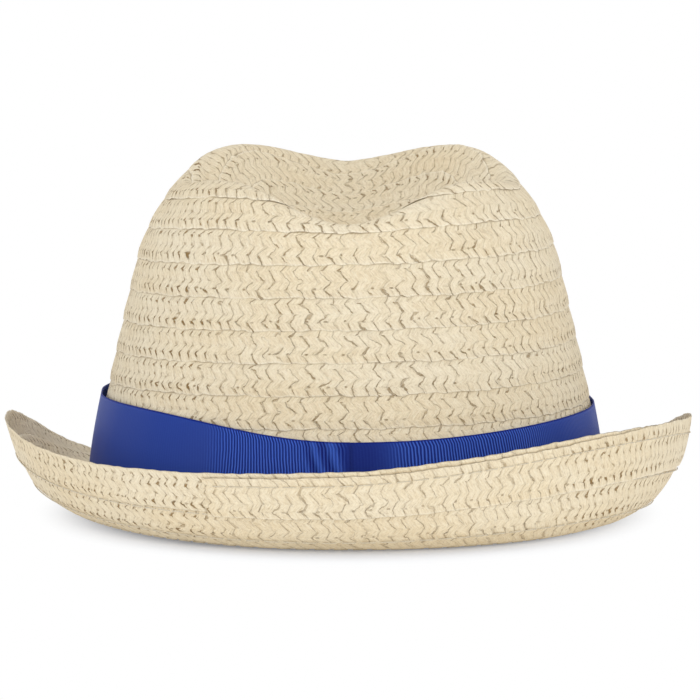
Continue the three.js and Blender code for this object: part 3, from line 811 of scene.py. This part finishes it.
def straw_finish(braid):
    """Folds in one zigzag across the braid, with needle holes and paper fibres. The folds, hooks and
    holes are painted shade, with a painted highlight along each turn's lower edge.
    """
    f = Finish("Plaited Paper Straw", Specular_IOR_Level=0.25)
    u, d = f.uv("braid")
    inner = d.above(INNER_FACE_SHIFT - 2.5)
    d = d - inner * INNER_FACE_SHIFT
    pitch = braid.plait_pitch / MM

    drift = f.noise(f.vector(u * 0.045, d * 0.05), detail=1.0) - 0.5
    wobble = f.noise(f.vector(u * 0.33, d * 0.3, 3.0), detail=1.0) - 0.5
    shiver = f.noise(f.vector(u * 1.2, d * 1.1, 7.0), detail=1.0) - 0.5

    # Sideways run of the folds, by height above the lower edge
    dd = d + wobble * 0.9
    run = dd.least(FIRST_FOLD_TOP) * FIRST_FOLD_SLANT
    band = 0
    for low, high, slant in FOLD_BANDS:
        run = run + (dd.most(low).least(high) - low) * slant
        band = dd.above(low) + band

    sway = f.noise(f.vector(u * 0.3, band * 3.7, 21.0), detail=1.0) - 0.5
    place = (u - run + wobble * 2.0 + shiver * 0.9 + drift * 6.0 + sway * 3.0) / pitch
    cell = place.floor()
    inside = place.fract()
    luck = f.chance(cell, band, 1.0)
    luck_fold = f.chance(cell, band, 5.0)
    shifted = (inside + (luck - 0.5) * 0.16).fract()
    from_fold = (0.5 - abs(shifted - 0.5)) * pitch

    # At the sides of the hat and in the dent the painted shade is stronger: the folds are darker and
    # wider where they turn back, and the shadow line under each turn is darker
    x, y, z = f.parts(f.node("ShaderNodeTexCoord", out="Object"))
    dent = z.ramp(0.094, 0.1) * (1 - abs(x).ramp(0.03, 0.048)) * y.ramp(-0.056, -0.046)
    turn_shade_zone = abs(x - 0.013).ramp(0.044, 0.066).most(dent * 0.5)
    turning = 0
    for turn_back, size in FOLD_TURNS:
        turning = ((1 - abs(dd - turn_back).ramp(0.5, 1.5)) * size).most(turning)

    # A fold is a thin crease of painted shade, broken here and there and darker at its lower end
    in_band = (dd / 2.9).fract()
    depth = luck_fold.ramp(0.05, 0.5) * (0.45 + 0.55 * (1 - in_band)) * (1 - turn_shade_zone * 0.82)
    depth = depth.most(turning * (0.35 + 0.65 * turn_shade_zone) * luck_fold.ramp(0.0, 0.3))
    width = 0.11 + 0.12 * luck + turning * (0.05 + 0.17 * turn_shade_zone)
    crease = (1 - (from_fold / width).ramp(0.45, 1.5)) * depth
    pillow = from_fold.ramp(0.0, 1.35)
    # Thin extra creases across some pads, drawn as painted shade
    side_luck = f.chance(cell, band, 9.0)
    from_line = abs(shifted - 0.25 - side_luck * 0.5) * pitch
    fine_crease_shade = (1 - from_line.ramp(0.03, 0.17)) * side_luck.ramp(0.45, 0.8) * wobble.ramp(-0.1, 0.2)

    # Short hooks of painted shade where the folds turn back at the sewn edge
    hook_u = (inside + 0.10).fract() * pitch
    hook_d = d - 1.9 - (luck - 0.5) * 0.9
    hook = 1 - (hook_u * hook_u * 1.3 + hook_d * hook_d * 0.9).ramp(0.15, 0.95)
    hook = hook * luck_fold.ramp(0.35, 0.6)

    # Needle holes, pulled long by the thread, drawn as painted shade
    stitch = braid.stitch_pitch / MM
    seam_u = (u + wobble * 1.6) / stitch
    seam_luck = f.chance(seam_u.floor(), 2.0, 2.0)
    hole_u = (seam_u.fract() - 0.5) * stitch
    hole_d = d - SEAM_ABOVE_EDGE - (seam_luck - 0.5) * 0.8
    hole_u = hole_u * (0.35 + seam_luck * 0.7)
    hole = (1 - (hole_u * hole_u + hole_d * hole_d * 1.6).ramp(0.02, 0.26)) * seam_luck.ramp(0.2, 0.5)

    # Fibres and fine wrinkles along each straw
    fibre = f.noise(f.vector((u - run) * 1.7, d * 0.45, band * 3.0), detail=2.0, roughness=0.7)
    wrinkle = f.noise(f.vector((u - run) * 0.9, d * 0.35, band * 5.0), detail=2.0)
    speck = f.noise(f.vector(u * 1.5, d * 1.5, 11.0), detail=2.0, roughness=0.7)
    patch = f.noise(f.vector(u * 0.02, d * 0.05, 17.0), detail=2.0)

    pale = (luck * 0.25 + wrinkle * 0.6 + patch * 0.4 - 0.1).ramp(0.15, 0.85)
    colour = f.colours(pale, rgba(braid.straw_colour), rgba(braid.pale_colour))
    tint = f.colours(patch.ramp(0.3, 0.7), (1.0, 0.975, 0.93, 1), (1.0, 1.0, 1.0, 1))
    colour = f.node(
        "ShaderNodeMix", {"data_type": "RGBA", "blend_type": "MULTIPLY"},
        {0: 1.0, 6: colour, 7: tint}, out=2)

    # The shadow line under the edge of the next turn
    under = (d.ramp(10.4, 10.85) - d.ramp(11.2, 11.6)) * (1 - inner)
    under = under * (0.12 + 0.34 * turn_shade_zone.most(z.ramp(0.085, 0.1)))
    under = under * (0.4 + wobble.ramp(-0.2, 0.15) * 0.6)

    # All the painted shade in one mask: creases, hooks, holes, the shadow line under the next turn and
    # the fine creases, weaker on the inner face
    shade = (crease * (0.74 + 0.2 * turn_shade_zone)).most(hook * (0.7 + 0.2 * turn_shade_zone)).most(hole * 0.6)
    shade = shade.most(under).most(fine_crease_shade * 0.42) * (1 - inner * 0.3 * (1 - turn_shade_zone))
    streak = (fibre - 0.5).most(0.0) * 1.2 + (speck - 0.5).most(0.0) * 0.9
    colour = f.colours((0.52 - fibre).most(0.0) * 2.4, colour, (0.93, 0.86, 0.70, 1.0))
    # Painted highlight: a pale band along the lower edge of each turn, set against the shade under
    # that edge
    lower_edge_highlight = 1 - d.ramp(0.2, 0.8)
    colour = f.colours(lower_edge_highlight * 0.35, colour, (1.0, 0.94, 0.80, 1.0))
    # Mix towards the fold shade colour: the painted shade, the real darker fibres and specks, and a
    # little painted shade off the middle of each pad
    colour = f.colours(shade + streak + (1 - pillow) * 0.04, colour, rgba(braid.fold_shade_and_fibre_colour))
    f.feed("Base Color", colour)
    f.feed("Roughness", 0.64 + speck * 0.2)

    height = (pillow * 0.2 - crease * 0.5 - hook * 0.5 - hole * 0.6
              + fibre * 0.42 + wrinkle * 0.3 + speck * 0.3)
    f.bump(height, 0.0007, 0.9)
    return f.material


def grosgrain_finish(bands):
    """Ribs across the ribbon, rounded and shiny, with a woven edge. The light and shade on the ribs
    are painted into the colour, by zones along the ribbon, with painted shade along both edges.
    """
    f = Finish("Blue Grosgrain", Specular_IOR_Level=0.08)
    u, v = f.uv("ribbon")
    pitch = bands.rib_pitch / MM
    lean = f.noise(f.vector(u * 0.03, v * 0.02, 2.0), detail=1.0) - 0.5
    shiver = f.noise(f.vector(u * 0.4, v * 0.25, 5.0), detail=1.0) - 0.5
    edge = (v.most(RIBBON_WIDTH - 2.2) - (RIBBON_WIDTH - 2.2)) * 0.35
    rib = ((u + lean * 5.0 + shiver * 0.35 + (v - 12.0) * 0.05 + edge) / pitch).fract()
    ridge = (rib * FULL_TURN).sine() * 0.5 + 0.5
    thread = f.noise(f.vector(u * 0.7, v * 7.0, 3.0), detail=2.0)
    fine = f.noise(f.vector(u * 5.0, v * 5.0, 9.0), detail=1.0)
    # Along both edges: a woven selvedge, rougher and flatter, and darker there as painted shade
    selvedge_and_edge_shade = abs(v - RIBBON_WIDTH / 2).ramp(RIBBON_WIDTH / 2 - 0.75, RIBBON_WIDTH / 2 - 0.3)
    # Painted light by zones along the ribbon: in the shade zone by the lap the ribs go dark and flat;
    # in the highlight zones, the clear ones and those away on the far side, the rib crests are painted
    # lit and the gaps shaded
    rib_shade_zone = 1 - u.ramp(20.0, 34.0) + u.ramp(612.0, 616.0)
    clear = u.ramp(26.0, 36.0) * (1 - u.ramp(76.0, 100.0)) + u.ramp(563.0, 577.0) * (1 - rib_shade_zone)
    away = u.ramp(90.0, 130.0) * (1 - u.ramp(430.0, 480.0))
    clear = clear * 0.76 + 0.03 + away * 0.35
    # At the lap the ribbon is crumpled: a fan of folds, bumped and also painted as light and dark
    # streaks
    crumpled = u.ramp(600.0, 604.0) * (1 - u.ramp(612.0, 616.0))
    fan = ((u + (v - 12.0) * 0.35 + lean * 16.0) * 1.05).sine() * crumpled * (0.6 + lean)
    # Share of the lit rib colour: painted highlight on the rib crests, painted shade between them, in
    # the shade zone, at the crumple and along the edges
    flat = 0.27 - rib_shade_zone * 0.21
    share = (flat + (ridge.ramp(0.3, 0.95) - flat) * clear * (1 - crumpled * 0.4)
             + fan * 0.26) * (1 - selvedge_and_edge_shade * 0.85)
    colour = f.colours(share, rgba(bands.rib_gap_shade_colour), rgba(bands.lit_rib_colour))
    colour = f.colours((thread - 0.5).most(0.0) * 0.2, colour, (0.06, 0.16, 0.62, 1.0))
    f.feed("Base Color", colour)
    f.feed("Roughness", 0.34 + fine * 0.22 + selvedge_and_edge_shade * 0.1)
    f.bump(ridge * clear * (1 - selvedge_and_edge_shade * 0.7) + thread * 0.18 + fan * 3.2, 0.00022, 0.9)
    return f.material


def tape_finish(bands):
    """A twill tape."""
    f = Finish("Cotton Tape", Roughness=0.85, Specular_IOR_Level=0.2, Sheen_Weight=0.15)
    u, v = f.uv("tape")
    twill = ((u + v) * (1 / 0.62)).fract()
    weft = (v / 0.42).fract()
    ridge = ((twill * FULL_TURN).sine() * 0.5 + 0.5) * ((weft * FULL_TURN).sine() * 0.25 + 0.75)
    slub = f.noise(f.vector(u * 0.3, v * 2.0), detail=3.0)
    worn = f.noise(f.vector(u * 0.03, v * 0.06, 4.0), detail=2.0)
    colour = f.colours(ridge * 0.5 + slub * 0.5, (0.56, 0.49, 0.38, 1.0), rgba(bands.sweatband_colour))
    colour = f.colours(worn.ramp(0.45, 0.75) * 0.18, colour, (0.62, 0.5, 0.34, 1.0))
    f.feed("Base Color", colour)
    f.bump(ridge + slub * 0.5, 0.0002, 0.7)
    return f.material


def thread_finish(braid):
    """Two-ply cotton thread."""
    f = Finish("Sewing Thread", Roughness=0.7, Sheen_Weight=0.2)
    where = f.node("ShaderNodeTexCoord", out="Object")
    ply = f.noise(where, scale=2600.0, detail=1.0)
    f.feed("Base Color", f.colours(ply, (0.55, 0.47, 0.34, 1.0), rgba(braid.thread_colour)))
    f.bump(ply, 0.0001, 0.5)
    return f.material


# Operators

class FEDORA_OT_braid(bpy.types.Operator):
    """Make the straw: the coiled tip and the turns of braid from the tip to the rim"""

    bl_idname = "fedora.braid"
    bl_label = "Braid"

    def execute(self, context):
        braid = context.scene.fedora_braid
        straw = straw_finish(braid)
        new_piece("tip_coil_braid", make_tip(braid), straw, "hat", "straw", "tip_coil")
        start = TIP_LENGTH
        for turn in range(1, TURN_COUNT):
            length = turn_length(turn)
            node, mesh = make_turn(turn, start, length, braid)
            new_piece(node + "_braid", mesh, straw, "hat", "straw", node)
            start += length
        return {"FINISHED"}


class FEDORA_OT_seam(bpy.types.Operator):
    """Make the stitches that hold each turn of the braid on the next, on the inner side"""

    bl_idname = "fedora.seam"
    bl_label = "Seam Stitches"

    def execute(self, context):
        braid = context.scene.fedora_braid
        pitch = braid.stitch_pitch / MM
        starts = []
        for turn in range(1, TURN_COUNT - 1):
            count = round(turn_length(turn) / pitch)
            starts.append(np.stack([np.full(count, turn), np.arange(count) / count], 1))
        spots = np.concatenate(starts)
        bm = bmesh.new()
        bmesh.ops.create_cone(
            bm, cap_ends=True, segments=5, radius1=THREAD_RADIUS * MM,
            radius2=THREAD_RADIUS * MM, depth=1)
        one = bpy.data.meshes.new("seam_stitch")
        bm.to_mesh(one)
        bm.free()
        shape = np.empty(len(one.vertices) * 3, np.float32)
        one.vertices.foreach_get("co", shape)
        shape = shape.reshape(-1, 3)
        inner_face = (SEAM_LAP_STEPS * braid.step_out + braid.thickness / 2) / MM
        lift = np.full(len(spots), SEAM_SINK - inner_face)
        row = spots[:, 0] + spots[:, 1] + 1 + OVERLAP_ROWS - SEAM_ABOVE_EDGE / BRAID_PITCH
        nudge = 0.0004
        at = surface.raised(braid_angle(spots[:, 1]), row, lift)
        ahead = surface.raised(braid_angle(spots[:, 1] + nudge), row + nudge, lift)
        bm = bmesh.new()
        for centre, towards in zip(at, ahead):
            way = (towards - centre) / np.linalg.norm(towards - centre)
            side = np.cross(way, (0.1, 0.2, 1.0))
            side = side / np.linalg.norm(side)
            axes = np.stack([side, np.cross(way, side), way * pitch * STITCH_SHARE * MM])
            first = len(bm.verts)
            bm.from_mesh(one)
            bm.verts.ensure_lookup_table()
            corners = shape @ axes + centre
            corners[:, 2] = np.maximum(corners[:, 2], 0)
            for k, corner in enumerate(corners):
                bm.verts[first + k].co = corner
        mesh = bpy.data.meshes.new("seam_stitches")
        bm.to_mesh(mesh)
        bm.free()
        mesh.shade_smooth()
        new_piece("seam_stitches", mesh, thread_finish(braid), "hat", "straw")
        return {"FINISHED"}


class FEDORA_OT_hatband(bpy.types.Operator):
    """Make the grosgrain ribbon, once round the crown and lapped over its own start"""

    bl_idname = "fedora.hatband"
    bl_label = "Hatband"

    def execute(self, context):
        bands = context.scene.fedora_bands
        thickness = bands.ribbon_thickness / MM
        lap_radius = float(oval_radius(
            np.radians(RIBBON_LAP_DEG), CROWN_HALF_WIDTH, CROWN_HALF_LENGTH, CROWN_OVAL_POWER))
        run = FULL_TURN + RIBBON_LAP / lap_radius
        first = math.radians(RIBBON_LAP_DEG)

        def stand_off(share, along, up):
            angle = first + run * share
            loft = around(angle, (0, bands.ribbon_left_loft / MM, 0, 0))
            rise = ease((run * share - FULL_TURN) * lap_radius / RIBBON_LAP_RISE + 1)
            lap = (thickness + RIBBON_LAP_GAP) * rise
            slack = wander(along, RIBBON_WAVES) * (0.4 + 0.6 * up)
            return bands.ribbon_stand_off / MM + loft + lap + slack

        mesh, length = make_band(
            "hatband_ribbon_weave", RIBBON_LAP_DEG, run, RIBBON_WIDTH, thickness,
            surface.lengths_at_heights(ribbon_low(surface.angles)), stand_off, "ribbon")
        piece = new_piece(
            "hatband_ribbon_weave", mesh, grosgrain_finish(bands), "hatband", "grosgrain",
            "hatband_ribbon")
        length * MM
        return {"FINISHED"}


class FEDORA_OT_sweatband(bpy.types.Operator):
    """Make the woven tape inside the foot of the crown"""

    bl_idname = "fedora.sweatband"
    bl_label = "Sweatband"

    def execute(self, context):
        bands = context.scene.fedora_bands
        gap = SWEATBAND_JOINT_GAP / CROWN_HALF_LENGTH

        def stand_off(share, along, up):
            return wander(along, SWEATBAND_WAVES) - bands.sweatband_stand_off / MM

        mesh, length = make_band(
            "sweatband_tape", SWEATBAND_JOINT_DEG + math.degrees(gap / 2), FULL_TURN - gap,
            SWEATBAND_WIDTH, bands.sweatband_thickness / MM,
            surface.breaks - SWEATBAND_ABOVE_BREAK, stand_off, "tape")
        piece = new_piece(
            "sweatband_tape", mesh, tape_finish(bands), "hat", "lining", "sweatband")
        length * MM
        return {"FINISHED"}


class FEDORA_OT_stage(bpy.types.Operator):
    """Make the white floor, the soft lights and the camera"""

    bl_idname = "fedora.stage"
    bl_label = "Stage"

    def execute(self, context):
        stage = context.scene.fedora_stage
        self.camera(context, stage)
        self.floor(context, stage)
        self.surround(context, stage)
        powers = (stage.key_power, stage.overhead_power, stage.fill_power, stage.fill_power)
        for power, (name, place, size) in zip(powers, LIGHTS):
            self.light(context, name, power, place, size)
        context.scene.view_settings.view_transform = "Standard"
        return {"FINISHED"}

    def camera(self, context, stage):
        camera = bpy.data.objects.new("camera", bpy.data.cameras.new("camera"))
        context.scene.collection.objects.link(camera)
        camera.data.lens = stage.camera_lens
        camera.data.sensor_width = CAMERA_SENSOR
        up = stage.camera_height
        camera.rotation_euler = (math.pi / 2 - up, 0, 0)
        back = np.array([0, -math.cos(up), math.sin(up)])
        above = np.array([0, math.sin(up), math.cos(up)])
        middle = np.array(PICTURE_MIDDLE) + above * PICTURE_RAISE
        camera.location = middle + back * stage.camera_distance
        context.scene.camera = camera

    def light(self, context, name, power, place, size):
        lamp = bpy.data.lights.new(name, "AREA")
        lamp.energy = power
        lamp.shape = "DISK"
        lamp.size = size
        holder = bpy.data.objects.new(name, lamp)
        context.scene.collection.objects.link(holder)
        holder.location = place
        aim = np.array(LIGHT_AIM) - np.array(place)
        holder.rotation_mode = "QUATERNION"
        holder.rotation_quaternion = Vector(aim).to_track_quat("-Z", "Y")

    def floor(self, context, stage):
        bm = bmesh.new()
        bmesh.ops.create_grid(bm, x_segments=1, y_segments=1, size=stage.floor_half)
        mesh = bpy.data.meshes.new("floor")
        bm.to_mesh(mesh)
        bm.free()
        floor = bpy.data.objects.new("floor", mesh)
        context.scene.collection.objects.link(floor)
        material = bpy.data.materials.new("White Floor")
        mesh.materials.append(material)
        tree = Nodes(material)
        tree.nodes.clear()
        diffuse, emission = "ShaderNodeBsdfDiffuse", "ShaderNodeEmission"
        add, mix = "ShaderNodeAddShader", "ShaderNodeMixShader"

        # What the hat's light bounces off, with a glow that adds painted light to the hat from below
        paint = tree.node(diffuse, None, {"Color": (0.9, 0.9, 0.9, 1)})
        glow = tree.node(emission, None, {"Strength": stage.floor_glow})
        lit = tree.node(add, None, {0: paint, 1: glow})

        # What the camera sees: the shadow near the hat, and white further out
        # A cool ground and a cool glow lift the shadow and cancel the warm light bounced from the
        # straw: painted light
        ground = tree.node(diffuse, None, {"Color": (0.85, 0.88, 0.95, 1)})
        shadow_lift_glow = tree.node(emission, None, {"Color": (0.06, 0.08, 0.12, 1)})
        shaded = tree.node(add, None, {0: ground, 1: shadow_lift_glow})
        where = tree.node("ShaderNodeTexCoord", out="Object")
        squeezed = tree.node(
            "ShaderNodeVectorMath", {"operation": "MULTIPLY"}, {0: where, 1: SHADOW_SQUEEZE})
        far = tree.node("ShaderNodeVectorMath", {"operation": "LENGTH"}, {0: squeezed}, out="Value")
        fade = far.ramp(SHADOW_START, SHADOW_END)
        near = tree.node(mix, None, {0: fade, 1: shaded, 2: tree.node(emission)})

        seen = tree.node("ShaderNodeLightPath", out="Is Camera Ray")
        tree.end_in("ShaderNodeOutputMaterial", tree.node(mix, None, {0: seen, 1: lit, 2: near}))

    def surround(self, context, stage):
        world = bpy.data.worlds.new("white_surround")
        context.scene.world = world
        tree = Nodes(world)
        tree.nodes.clear()
        dim = tree.node("ShaderNodeBackground", None, {"Color": rgba((1, 1, 1)), 1: stage.surround})
        white = tree.node("ShaderNodeBackground", None, {"Color": rgba((1, 1, 1))})
        camera, glossy, through = (
            tree.node("ShaderNodeLightPath", out=f"Is {ray} Ray")
            for ray in ("Camera", "Glossy", "Transmission"))
        seen = camera.most(glossy).most(through)
        tree.end_in(
            "ShaderNodeOutputWorld",
            tree.node("ShaderNodeMixShader", None, {0: seen, 1: dim, 2: white}))


class FEDORA_PT_panel(bpy.types.Panel):
    """The hat's pieces, sizes and colours"""

    bl_idname = "FEDORA_PT_panel"
    bl_label = "Straw Fedora"
    bl_space_type = "VIEW_3D"
    bl_region_type = "UI"
    bl_category = "Straw Fedora"

    def draw(self, context):
        layout = self.layout
        for group in ("fedora_braid", "fedora_bands", "fedora_stage"):
            box = layout.box()
            settings = getattr(context.scene, group)
            for name in settings.bl_rna.properties.keys():
                if name not in ("rna_type", "name"):
                    box.prop(settings, name)
        for operator in OPERATORS:
            layout.operator(operator.bl_idname)


OPERATORS = (
    FEDORA_OT_braid, FEDORA_OT_seam, FEDORA_OT_hatband, FEDORA_OT_sweatband, FEDORA_OT_stage)
CLASSES = (FedoraBraid, FedoraBands, FedoraStage, *OPERATORS, FEDORA_PT_panel)


def register():
    for cls in CLASSES:
        bpy.utils.register_class(cls)
    bpy.types.Scene.fedora_braid = PointerProperty(type=FedoraBraid)
    bpy.types.Scene.fedora_bands = PointerProperty(type=FedoraBands)
    bpy.types.Scene.fedora_stage = PointerProperty(type=FedoraStage)


def unregister():
    del bpy.types.Scene.fedora_stage
    del bpy.types.Scene.fedora_bands
    del bpy.types.Scene.fedora_braid
    for cls in reversed(CLASSES):
        bpy.utils.unregister_class(cls)


def main():
    register()
    bpy.ops.fedora.braid()
    bpy.ops.fedora.seam()
    bpy.ops.fedora.hatband()
    bpy.ops.fedora.sweatband()
    bpy.ops.fedora.stage()


if __name__ == "__main__":
    main()
